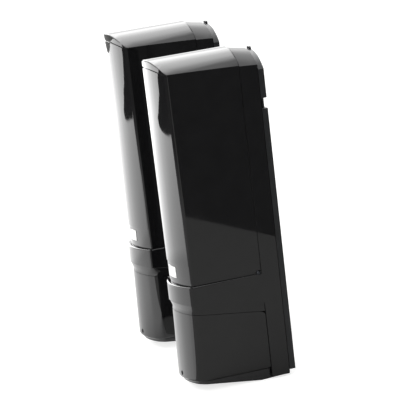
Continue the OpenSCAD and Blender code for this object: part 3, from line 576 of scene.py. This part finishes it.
def merged_copy(node):
    """A copy of a CAD node as one closed mesh of large flat faces"""
    piece = bpy.data.objects.new(node + "_moulded", frame["nodes"][node].data.copy())
    bpy.context.scene.collection.objects.link(piece)
    only(piece)
    bpy.ops.mesh.customdata_custom_splitnormals_clear()
    bpy.ops.object.mode_set(mode="EDIT")
    bpy.ops.mesh.select_all(action="SELECT")
    bpy.ops.mesh.remove_doubles(threshold=WELD)
    bpy.ops.mesh.dissolve_limited(angle_limit=FLAT_ANGLE, delimit=set())
    bpy.ops.object.mode_set(mode="OBJECT")
    return piece


def round_edges(piece, radius):
    """Rounds a piece's sharp edges and smooths the rest"""
    only(piece)
    bpy.ops.object.shade_smooth()
    bevel = piece.modifiers.new("edges", "BEVEL")
    bevel.width = radius
    bevel.segments = 2
    bevel.limit_method = "ANGLE"
    bevel.angle_limit = SHARP_ANGLE
    bevel.use_clamp_overlap = True
    bevel.harden_normals = False
    bpy.ops.object.modifier_apply(modifier=bevel.name)
    weight = piece.modifiers.new("normals", "WEIGHTED_NORMAL")
    weight.mode = "FACE_AREA"
    weight.weight = 50
    bpy.ops.object.modifier_apply(modifier=weight.name)


# Outer mouldings


def round_rim(piece, node, level, ridge, radius):
    """Rounds the outer edge of a bowed moulding at one level, round its front and sides"""
    low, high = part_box(node)
    half = (high.x - low.x) / 2
    centre = (high.x + low.x) / 2

    def outer(point):
        bow = (point.x - centre) ** 2 / (2 * NOSE_RADIUS)
        at_side = abs(point.x - centre) > half - SIDE_SLACK
        at_front = point.y < low.y + bow + FRONT_SLACK
        corner = abs(point.x - centre) > half - ridge and point.y < low.y + ridge + RIDGE_SLACK
        inset = min(half - abs(point.x - centre), point.y - low.y - bow)
        return at_side or at_front or (corner and inset > 0)

    only(piece)
    bpy.ops.object.mode_set(mode="EDIT")
    bpy.ops.mesh.select_all(action="DESELECT")
    bpy.ops.mesh.select_mode(type="EDGE")
    bpy.ops.object.mode_set(mode="OBJECT")
    points = piece.data.vertices
    for edge in piece.data.edges:
        ends = [points[i].co for i in edge.vertices]
        edge.select = all(abs(end.z - level) < LEVEL_SLACK and outer(end) for end in ends)
    bpy.ops.object.mode_set(mode="EDIT")
    bpy.ops.mesh.bevel(offset=radius, offset_type="OFFSET", segments=RIM_SEGMENTS, affect="EDGES")
    bpy.ops.object.mode_set(mode="OBJECT")


def roof_edges(piece, node):
    """The roof's front edges with their levels, and its rear edges, all between the cover's sides"""
    low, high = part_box(node)
    sides = {}
    for face in piece.data.polygons:
        for key in face.edge_keys:
            sides.setdefault(key, []).append(face)
    points = piece.data.vertices
    top = max(point.co.z for point in points)
    front, rear = {}, []
    for edge in piece.data.edges:
        faces = sides[edge.key]
        ends = [points[i].co for i in edge.vertices]
        beside = max(abs(end.x - (low.x + high.x) / 2) for end in ends)
        inner = beside < (high.x - low.x) / 2 - BROW_END
        if len(faces) == 2 and min(end.z for end in ends) > top - ARCH_DROP and inner:
            fore, aft = sorted((face.normal for face in faces), key=lambda normal: normal.y)
            if fore.y < -0.8 and aft.z > 0.6 and abs(aft.y) < 0.3:
                front[edge.index] = (ends[0].z + ends[1].z) / 2
            if aft.y > 0.8 and fore.z > 0.6:
                rear.append(edge.index)
    return front, rear, top


def soften_brow(piece, node):
    """Rounds the roof's front edge over the brow's slit, most at the middle, and its rear edge"""
    front, rear, top = roof_edges(piece, node)
    foot = min(front.values())
    weights = piece.data.attributes.new(BEVEL_WEIGHT, "FLOAT", "EDGE")
    for index, level in front.items():
        weights.data[index].value = (level - foot) / (top - foot)
    for index in rear:
        weights.data[index].value = REAR_ROUND / BROW_ROUND
    bevel = piece.modifiers.new("brow", "BEVEL")
    bevel.width = BROW_ROUND
    bevel.segments = BROW_SEGMENTS
    bevel.limit_method = "WEIGHT"
    bevel.use_clamp_overlap = False
    only(piece)
    bpy.ops.object.modifier_apply(modifier=bevel.name)
    piece.data.attributes.remove(piece.data.attributes[BEVEL_WEIGHT])


def rim_mouldings(piece, part, node):
    """The cover's soft brow, the lower cover's foot, rounded like a chin, and the collar's soft ledge"""
    if part == "front_cover":
        soften_brow(piece, node)
    if part == "lower_cover":
        round_rim(piece, node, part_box(node)[0].z, LOWER_RIDGE, CHIN_ROUND)
    if part == "rear_housing":
        # The ledge is level with the foot of the tamper switch
        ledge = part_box(node.replace("rear_housing", "tamper_switch"))[0].z
        round_rim(piece, node, ledge, COLLAR_RIDGE, LEDGE_ROUND)


def mould_nodes():
    """Every CAD node as a moulded piece with rounded edges in its own finish, modelled once for both units"""
    blackened = blackened_steel()
    for node in sorted(frame["nodes"]):
        unit, part = node.split("_", 1)
        slot = node_slot(node)
        finish = blackened if part == "latch_studs" else FINISHES[slot]
        wear(frame["nodes"][node], finish)
        alike = "rx_" + part
        if part in REMADE or (unit == "rx" and "tx_" + part in frame["nodes"]):
            continue
        hosts = [node] + [alike] * (unit == "tx" and alike in frame["nodes"])
        piece = merged_copy(node)
        rim_mouldings(piece, part, node)
        round_edges(piece, EDGE_RADII[part] * MM)
        settle_copies(piece, hosts, "_moulded", finish, replace=True)


# Pieces behind the covers


def fresnel_lens(node):
    """A clear lens whose domed front is stepped in rings, cut square to fill its case's mouth"""
    low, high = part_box(node)
    centre = (low + high) / 2
    reach = math.hypot(high.x - centre.x, high.z - centre.z) * LENS_OVERREACH
    dome = [(reach * (1 - i / LENS_RINGS)) ** 2 / (2 * LENS_DOME_RADIUS) for i in range(LENS_RINGS + 1)]
    lens = rod("lens", centre, reach, -high.y, -(low.y + LENS_STEP + dome[0]), sides=80)
    pick_faces(lens, looks_forward)
    pitch = reach / LENS_RINGS
    for ring in range(LENS_RINGS - 1):
        rise = dome[ring] - dome[ring + 1]
        bpy.ops.mesh.inset(thickness=LENS_STEP_SHARE * pitch, depth=LENS_STEP)
        bpy.ops.mesh.inset(thickness=(1 - LENS_STEP_SHARE) * pitch, depth=rise - LENS_STEP)
    for side in (low, high):
        for axis in ((1, 0, 0), (0, 0, 1)):
            outward = Vector(axis) * (1 if side is high else -1)
            bpy.ops.mesh.select_all(action="SELECT")
            bpy.ops.mesh.bisect(plane_co=side, plane_no=outward, use_fill=True, clear_outer=True)
    bpy.ops.object.mode_set(mode="OBJECT")
    bpy.ops.object.shade_smooth_by_angle(angle=math.radians(12))
    return lens


def optic_can(centre, back):
    """The bright metal can of the lamp or light sensor at the back of a case"""
    can = rod("can", centre, CAN_RADIUS, back, back + CAN_HEIGHT)
    pick_faces(can, looks_forward)
    bpy.ops.mesh.inset(thickness=CAN_RIM, depth=0.0)
    bpy.ops.mesh.inset(thickness=CAN_LIP, depth=-CAN_HOLLOW)
    bpy.ops.object.mode_set(mode="OBJECT")
    round_edges(can, 0.3 * MM)
    return can


def optic_dome(centre, back):
    """The tinted dome that looks out of the can"""
    dome = rod("dome", centre, DOME_RADIUS, back + DOME_FOOT, back + DOME_HEIGHT)
    pick_faces(dome, looks_forward)
    bpy.ops.mesh.bevel(offset=DOME_ROUND, segments=DOME_SEGMENTS, affect="EDGES")
    bpy.ops.object.mode_set(mode="OBJECT")
    bpy.ops.object.shade_smooth_by_angle(angle=math.radians(40))
    return dome


def optics():
    """Lenses, cans and domes of the four lens cases"""
    lenses = [f"{unit}_{level}_lens" for unit in UNITS for level in LEVELS]
    cases = [lens + "_case" for lens in lenses]
    clear = FINISHES["lens_clear"]
    settle_copies(fresnel_lens(lenses[0]), lenses, "_stepped", clear, replace=True)
    low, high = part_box(cases[0])
    centre = (low + high) / 2
    back = -high.y + CASE_WALL
    settle_copies(optic_can(centre, back), cases, "_can", FINISHES["steel"])
    infrared = lamp_epoxy("infrared_epoxy", "#3a2334")
    settle_copies(optic_dome(centre, back), cases, "_dome", infrared)


def capacitor_cans(chip, board, parts):
    """Aluminium cans of the upright capacitors, with a pressed cross in each top"""
    centre_x = (board[0].x + board[1].x) / 2
    place = (centre_x - (board[1].x - board[0].x) / 2.4, 0, parts[0].z + chip / 3)
    top = -parts[0].y
    can = rod("can", place, chip / 3 + SKIN_GAP, top - SKIN_LENGTH, top + SKIN_RISE)
    pick_faces(can, looks_forward)
    bpy.ops.mesh.inset(thickness=SKIN_RIM, depth=0.0)
    bpy.ops.mesh.inset(thickness=SKIN_LIP, depth=-SKIN_RISE)
    bpy.ops.object.mode_set(mode="OBJECT")
    bars = []
    for turn in (45, -45):
        bar = block("bar", (place[0] - CROSS_REACH, -top - CROSS_RISE, place[2] - CROSS_WIDTH),
                    (place[0] + CROSS_REACH, -top + CROSS_DEPTH, place[2] + CROSS_WIDTH))
        pick_faces(bar, lambda normal: True)
        bpy.ops.transform.rotate(value=math.radians(turn), orient_axis="Y", center_override=place)
        bpy.ops.object.mode_set(mode="OBJECT")
        bars.append(bar)
    first = join([can] + bars, "capacitor_can")
    round_edges(first, 0.12 * MM)
    return row(first, [(i * chip * CAPACITOR_PITCH, 0, 0) for i in range(1, MORE_CAPACITORS + 1)])


def chip_pins(chip, board):
    """Bent tinned pins along both sides of the big chip"""
    x = (board[0].x + board[1].x) / 2
    face = board[0].y
    # The chip's middle is level with the channel dial's
    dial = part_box("tx_channel_dial")
    pitch = PIN_PITCH * chip
    level = (dial[0].z + dial[1].z) / 2 - chip + 0.75 * pitch
    foot = (PIN_OUT, PIN_FOOT, 0, PIN_THICK)
    leg = (PIN_OUT, PIN_OUT + PIN_THICK, 0, PIN_RISE)
    shoulder = (-PIN_ROOT, PIN_OUT + PIN_THICK, PIN_RISE - PIN_THICK, PIN_RISE)
    pins = []
    for side in (-1, 1):
        for near, far, low, high in (foot, leg, shoulder):
            reach = sorted(x + side * (chip + out) for out in (near, far))
            pins.append(block("pin", (reach[0], face - high, level - PIN_WIDTH / 2),
                              (reach[1], face - low, level + PIN_WIDTH / 2)))
    pair = join(pins, "chip_pins")
    round_edges(pair, 0.05 * MM)
    return row(pair, [(0, 0, i * pitch) for i in range(1, PIN_COUNT)])


def small_resistors(board):
    """A row of small resistors along the board's top edge and one up each side: bodies and tinned ends"""
    low, high = board
    face = low.y
    number, begin, pitch, inset = TOP_ROW
    spots = [(low.x + begin + i * pitch, high.z - inset) for i in range(number)]
    number, begin, pitch, inset = SIDE_ROW
    spots += [(side, low.z + begin + i * pitch) for side in (low.x + inset, high.x - inset)
              for i in range(number)]
    x, z = spots[0]
    half, wide = RESISTOR_LENGTH / 2, RESISTOR_WIDTH / 2
    body = block("resistor_body", (x - half + RESISTOR_CUT, face - RESISTOR_RISE, z - wide),
                 (x + half - RESISTOR_CUT, face, z + wide))
    front = face - RESISTOR_RISE - RESISTOR_SKIN
    ends = [block("resistor_end", (x + side * half - RESISTOR_END, front, z - wide),
                  (x + side * half + RESISTOR_END, face, z + wide)) for side in (-1, 1)]
    ends = join(ends, "resistor_ends")
    shifts = [(spot[0] - x, 0, spot[1] - z) for spot in spots[1:]]
    for piece in (body, ends):
        round_edges(piece, 0.06 * MM)
    return row(body, shifts), row(ends, shifts)


def cell_caps():
    """Nickel-plated end caps of the four cells, each with its raised button"""
    low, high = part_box("tx_battery_cells")
    spread = Vector(((high.x - low.x) / 2, (high.y - low.y) / 2, 0))
    radius = spread.x / 2 - CAP_SLACK
    place = Vector((low.x, low.y, high.z - CELL_BUTTON)) + spread / 2
    cap = start("cylinder", "cell_cap", radius=radius * CAP_SHARE, depth=CAP_THICK, vertices=48,
                location=place + Vector((0, 0, CAP_LIFT)))
    plant(cap)
    pick_faces(cap, looks_up)
    bpy.ops.mesh.inset(thickness=radius * CAP_RING, depth=0.0)
    bpy.ops.mesh.inset(thickness=BUTTON_SHOULDER, depth=CELL_BUTTON - BUTTON_SINK)
    bpy.ops.object.mode_set(mode="OBJECT")
    round_edges(cap, 0.2 * MM)
    return row(cap, [(spread.x, 0, 0), (0, spread.y, 0), spread])


def boards_and_cells():
    """Small parts on the two boards, and the caps of the cells"""
    board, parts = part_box("tx_main_board"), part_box("tx_board_parts")
    chip = (board[1].z - board[0].z) / 6
    hosts = [unit + "_board_parts" for unit in UNITS]
    steel, tinned = FINISHES["steel"], tinned_copper()
    settle_copies(capacitor_cans(chip, board, parts), hosts, "_capacitor_cans", steel)
    settle_copies(chip_pins(chip, board), hosts, "_chip_pins", tinned)
    bodies, ends = small_resistors(board)
    settle_copies(bodies, hosts, "_resistors", FINISHES["component_black"])
    settle_copies(ends, hosts, "_resistor_ends", tinned)
    settle_copies(cell_caps(), [unit + "_battery_cells" for unit in UNITS], "_caps", steel)


def red_lamps():
    """The first status lamp of each unit is red and the others are amber"""
    red = lamp_epoxy("red_lamp_epoxy", "#c2281e")
    for unit in UNITS:
        piece = bpy.data.objects[unit + "_status_leds_moulded"]
        low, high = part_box(unit + "_status_leds")
        piece.data.materials.append(red)
        for face in piece.data.polygons:
            if face.center.x < low.x + (high.x - low.x) * RED_SHARE:
                face.material_index = 1


mould_nodes()
optics()
boards_and_cells()
red_lamps()


# Stage, light and camera

# The floor's height, and the transmitter's front on it
FLOOR_Z = cad_box[0].z - 0.2 * MM
FLOOR_SIZE = 14
POST_FRONT = Vector((0, -0.1455, FLOOR_Z))
# The floor's own glow to the camera, and the world's strength for diffuse light
FLOOR_GLOW = 0.75
SOFT_GLOW = 0.62
# The cards' reach and greatest strength, the way in which they have their full strength, and how
# squarely toward it that is reached
CARD_REACH = 4.0
STUDIO_GLOW = 6.2
FULL_WAY = (-0.342, -0.94, 0.0)
FULL_TURN = 0.8
# Places where the pale floor ends, as the glossy side faces mirror it, and how far the dim floor beyond
# them goes on to the near side, to the far side and away
FLOOR_EDGE_NEAR = Vector((1.065, 0.243, FLOOR_Z + MM))
FLOOR_EDGE_FAR = Vector((0.892, 0.282, FLOOR_Z + MM))
DIM_NEAR, DIM_FAR, DIM_AWAY = 6, 0.7, 6
# Cards on the floor by bearing in degrees and distance from the transmitter's front: the bright paper
# that the front strips mirror, the dark end of it, and the dim floor that the side faces mirror
BRIGHT_PAPER = (
    (150, 0.02), (150, 4.0), (248, 4.0), (246, 2.3), (239, 2.04), (231, 1.92), (225, 1.83), (226, 1.75),
    (230, 1.71), (236, 1.68), (243, 1.66), (257, 1.64), (266, 1.64), (280, 1.1), (292, 1.0), (292, 0.02),
)
PAPER_END = ((222, 1.57), (222, 5.0), (270, 5.0), (270, 1.57))
DIM_SIDE = ((266, 0.9), (266, 5.0), (345, 5.0), (345, 0.9))
# How much of the bright paper's strength is left where it is faintest
PAPER_FAINT = 0.38


def stage_card(name, corners, zones, faint=1.0):
    """A flat card that only shows in gloss; zones give its strength by distance in front of the posts

    Toward the left its strength falls to the faint share.
    """
    mesh = bpy.data.meshes.new(name)
    mesh.from_pydata([tuple(corner) for corner in corners], [], [tuple(range(len(corners)))])
    card = bpy.data.objects.new(name, mesh)
    bpy.context.scene.collection.objects.link(card)
    material = bpy.data.materials.new(name)
    material.use_nodes = True
    tree = material.node_tree
    tree.nodes.clear()
    place = add(tree, "ShaderNodeTexCoord").outputs["Object"]
    centre = tuple(POST_FRONT)
    away = add(tree, "ShaderNodeVectorMath", {0: place, 1: centre}, operation="DISTANCE")
    share = add(tree, "ShaderNodeMapRange", {"Value": away.outputs["Value"], "From Max": CARD_REACH})
    ramp = add(tree, "ShaderNodeValToRGB", {"Fac": share.outputs[0]})
    stops = ramp.color_ramp.elements
    while len(stops) < len(zones):
        stops.new(0.5)
    for stop, (distance, strength) in zip(stops, zones):
        stop.position = distance / CARD_REACH
        stop.color = (strength / STUDIO_GLOW,) * 3 + (1,)
    bearing = add(tree, "ShaderNodeVectorMath", {0: place, 1: centre}, operation="SUBTRACT")
    way = add(tree, "ShaderNodeVectorMath", {0: bearing.outputs[0]}, operation="NORMALIZE")
    turned = add(tree, "ShaderNodeVectorMath", {0: way.outputs[0], 1: FULL_WAY}, operation="DOT_PRODUCT")
    power = add(tree, "ShaderNodeMapRange", {"Value": turned.outputs["Value"], "From Max": FULL_TURN,
                                             "To Min": STUDIO_GLOW * faint, "To Max": STUDIO_GLOW})
    glow = add(tree, "ShaderNodeEmission", {"Color": ramp.outputs[0], "Strength": power.outputs[0]})
    add(tree, "ShaderNodeOutputMaterial", {"Surface": glow.outputs[0]})
    wear(card, material)
    card.visible_camera = False
    card.visible_diffuse = False
    card.visible_transmission = False
    card.visible_shadow = False


def on_floor(outline, height):
    """Places at bearings in degrees and distances from the transmitter's front, at a height"""
    turns = [(math.radians(bearing), distance) for bearing, distance in outline]
    return [POST_FRONT + Vector((math.cos(turn), math.sin(turn), 0)) * distance + Vector((0, 0, height))
            for turn, distance in turns]


def pale_floor():
    """A wide pale floor that the camera sees as white, with the posts' soft shadow on it"""
    floor = start("plane", "pale_floor", size=FLOOR_SIZE, location=(0, 0, FLOOR_Z))
    material = bpy.data.materials.new("pale_floor_paper")
    material.use_nodes = True
    tree = material.node_tree
    tree.nodes.clear()
    path = add(tree, "ShaderNodeLightPath")
    paper = add(tree, "ShaderNodeBsdfDiffuse", {"Color": linear("#cbcbc9")})
    glow = add(tree, "ShaderNodeEmission", {"Color": (1, 1, 1, 1), "Strength": FLOOR_GLOW})
    both = add(tree, "ShaderNodeAddShader", {0: paper.outputs[0], 1: glow.outputs[0]})
    mix = add(tree, "ShaderNodeMixShader", {0: path.outputs["Is Camera Ray"], 1: paper.outputs[0],
                                            2: both.outputs[0]})
    add(tree, "ShaderNodeOutputMaterial", {"Surface": mix.outputs[0]})
    wear(floor, material)


def glow_toward(tree, way, aim, begins, full, low, high):
    """A strength that goes from low to high as a direction turns toward an aim"""
    turned = add(tree, "ShaderNodeVectorMath", {0: way, 1: aim}, operation="DOT_PRODUCT")
    glow = add(tree, "ShaderNodeMapRange", {"Value": turned.outputs["Value"], "From Min": begins,
                                            "From Max": full, "To Min": low, "To Max": high},
               interpolation_type="SMOOTHSTEP")
    return glow.outputs[0]


def studio_world():
    """White to the camera; to gloss, a studio that is bright at the left and overhead and dim at the right"""
    world = bpy.data.worlds.new("studio")
    bpy.context.scene.world = world
    world.use_nodes = True
    tree = world.node_tree
    tree.nodes.clear()
    white = (1, 1, 1, 1)
    path = add(tree, "ShaderNodeLightPath")
    way = add(tree, "ShaderNodeTexCoord").outputs["Generated"]
    room = glow_toward(tree, way, (0.55, 0.85, -0.1), 0.38, 0.72, 2.2, 0.06)
    # A large soft box overhead, cut off toward the back of the posts
    box = glow_toward(tree, way, (-0.5, 0.1, 0.86), 0.72, 0.93, 0.0, 5.0)
    depth = add(tree, "ShaderNodeSeparateXYZ", {0: way}).outputs["Y"]
    cut = add(tree, "ShaderNodeMapRange", {"Value": depth, "From Min": 0.36, "From Max": 0.55,
                                           "To Min": 1.0, "To Max": 0.0}, interpolation_type="SMOOTHSTEP")
    total = add(tree, "ShaderNodeMath", {0: box, 1: cut.outputs[0], 2: room}, operation="MULTIPLY_ADD")
    # A smaller panel low at the left, which edges that face up and forwards catch
    panel = glow_toward(tree, way, (-0.93, -0.15, 0.33), 0.9, 0.97, 0.0, 4.5)
    both = add(tree, "ShaderNodeMath", {0: total.outputs[0], 1: panel}, operation="ADD")
    gloss = add(tree, "ShaderNodeBackground", {"Color": white, "Strength": both.outputs[0]})
    soft = add(tree, "ShaderNodeBackground", {"Color": white, "Strength": SOFT_GLOW})
    plain = add(tree, "ShaderNodeBackground", {"Color": white, "Strength": 1.0})
    seen = add(tree, "ShaderNodeMath", {0: path.outputs["Is Camera Ray"],
                                        1: path.outputs["Is Transmission Ray"]}, operation="MAXIMUM")
    mirrored = add(tree, "ShaderNodeMixShader", {0: path.outputs["Is Glossy Ray"], 1: soft.outputs[0],
                                                 2: gloss.outputs[0]})
    final = add(tree, "ShaderNodeMixShader", {0: seen.outputs[0], 1: mirrored.outputs[0],
                                              2: plain.outputs[0]})
    add(tree, "ShaderNodeOutputWorld", {"Surface": final.outputs[0]})


def soft_light(name, place, aim, size, power):
    """A square soft light aimed at a point, which gloss doesn't mirror"""
    data = bpy.data.lights.new(name, "AREA")
    data.shape = "SQUARE"
    data.size = size
    data.energy = power
    lamp = bpy.data.objects.new(name, data)
    bpy.context.scene.collection.objects.link(lamp)
    turn = (Vector(place) - Vector(aim)).to_track_quat("Z", "Y").to_matrix().to_4x4()
    lamp.matrix_world = Matrix.Translation(place) @ turn
    lamp.visible_glossy = False


def studio():
    """The floor, the world, the cards that gloss mirrors, and two soft lights"""
    pale_floor()
    studio_world()
    along = (FLOOR_EDGE_NEAR - FLOOR_EDGE_FAR).normalized()
    away = Vector((0, DIM_AWAY, 0))
    near_end = FLOOR_EDGE_FAR + DIM_NEAR * along
    far_end = FLOOR_EDGE_FAR - DIM_FAR * along
    stage_card("dim_floor", [far_end, near_end, near_end + away, far_end + away], [(0, 0.09), (4, 0.09)])
    stage_card("bright_paper", on_floor(BRIGHT_PAPER, 3 * MM),
               [(0, 2.1), (0.46, 2.4), (0.7, 2.5), (0.78, 3.5), (1.3, 4.7), (1.9, STUDIO_GLOW)],
               faint=PAPER_FAINT)
    stage_card("paper_end", on_floor(PAPER_END, 2 * MM), [(0, 0.1), (4, 0.1)])
    stage_card("dim_side", on_floor(DIM_SIDE, 2.5 * MM), [(0.9, 0.8), (1.3, 0.5), (1.6, 0.2)])
    soft_light("key_soft", (-1.6, -2.2, 2.4), (0, -0.08, 0), 1.8, 60)
    soft_light("fill_soft", (2.0, -1.8, 1.6), (-0.1, -0.08, 0), 1.8, 22)


# The camera, fitted to the photograph's 400 pixel frame
CAMERA_AZIMUTH = math.radians(69.62)
CAMERA_PITCH = math.radians(12.54)
CAMERA_ROLL = math.radians(6.36)
CAMERA_DISTANCE = 4.51
CAMERA_TARGET = Vector((0, -0.088, 0))
FRAME_PX = 400
FOCAL_PX = 3370
SHIFT_PX = (-6.64, 18.23)
SENSOR_MM = 36.0
CLIP_NEAR, CLIP_FAR = 0.1, 60


def photograph_camera():
    """The camera, rolled because the photographed posts lean on their slanted undersides"""
    back = Vector((math.sin(CAMERA_AZIMUTH) * math.cos(CAMERA_PITCH),
                   -math.cos(CAMERA_AZIMUTH) * math.cos(CAMERA_PITCH), math.sin(CAMERA_PITCH)))
    right = Vector((math.cos(CAMERA_AZIMUTH), math.sin(CAMERA_AZIMUTH), 0))
    up = back.cross(right)
    x_axis = right * math.cos(CAMERA_ROLL) - up * math.sin(CAMERA_ROLL)
    y_axis = right * math.sin(CAMERA_ROLL) + up * math.cos(CAMERA_ROLL)
    data = bpy.data.cameras.new("photograph_camera")
    data.sensor_width = SENSOR_MM
    data.sensor_fit = "HORIZONTAL"
    data.lens = FOCAL_PX / FRAME_PX * SENSOR_MM
    data.shift_x = SHIFT_PX[0] / FRAME_PX
    data.shift_y = SHIFT_PX[1] / FRAME_PX
    data.clip_start = CLIP_NEAR
    data.clip_end = CLIP_FAR
    camera = bpy.data.objects.new("photograph_camera", data)
    bpy.context.scene.collection.objects.link(camera)
    turn = Matrix((x_axis, y_axis, back)).transposed().to_4x4()
    camera.matrix_world = Matrix.Translation(CAMERA_TARGET + back * CAMERA_DISTANCE) @ turn
    bpy.context.scene.camera = camera


studio()
photograph_camera()
bpy.context.scene.view_settings.view_transform = "Standard"
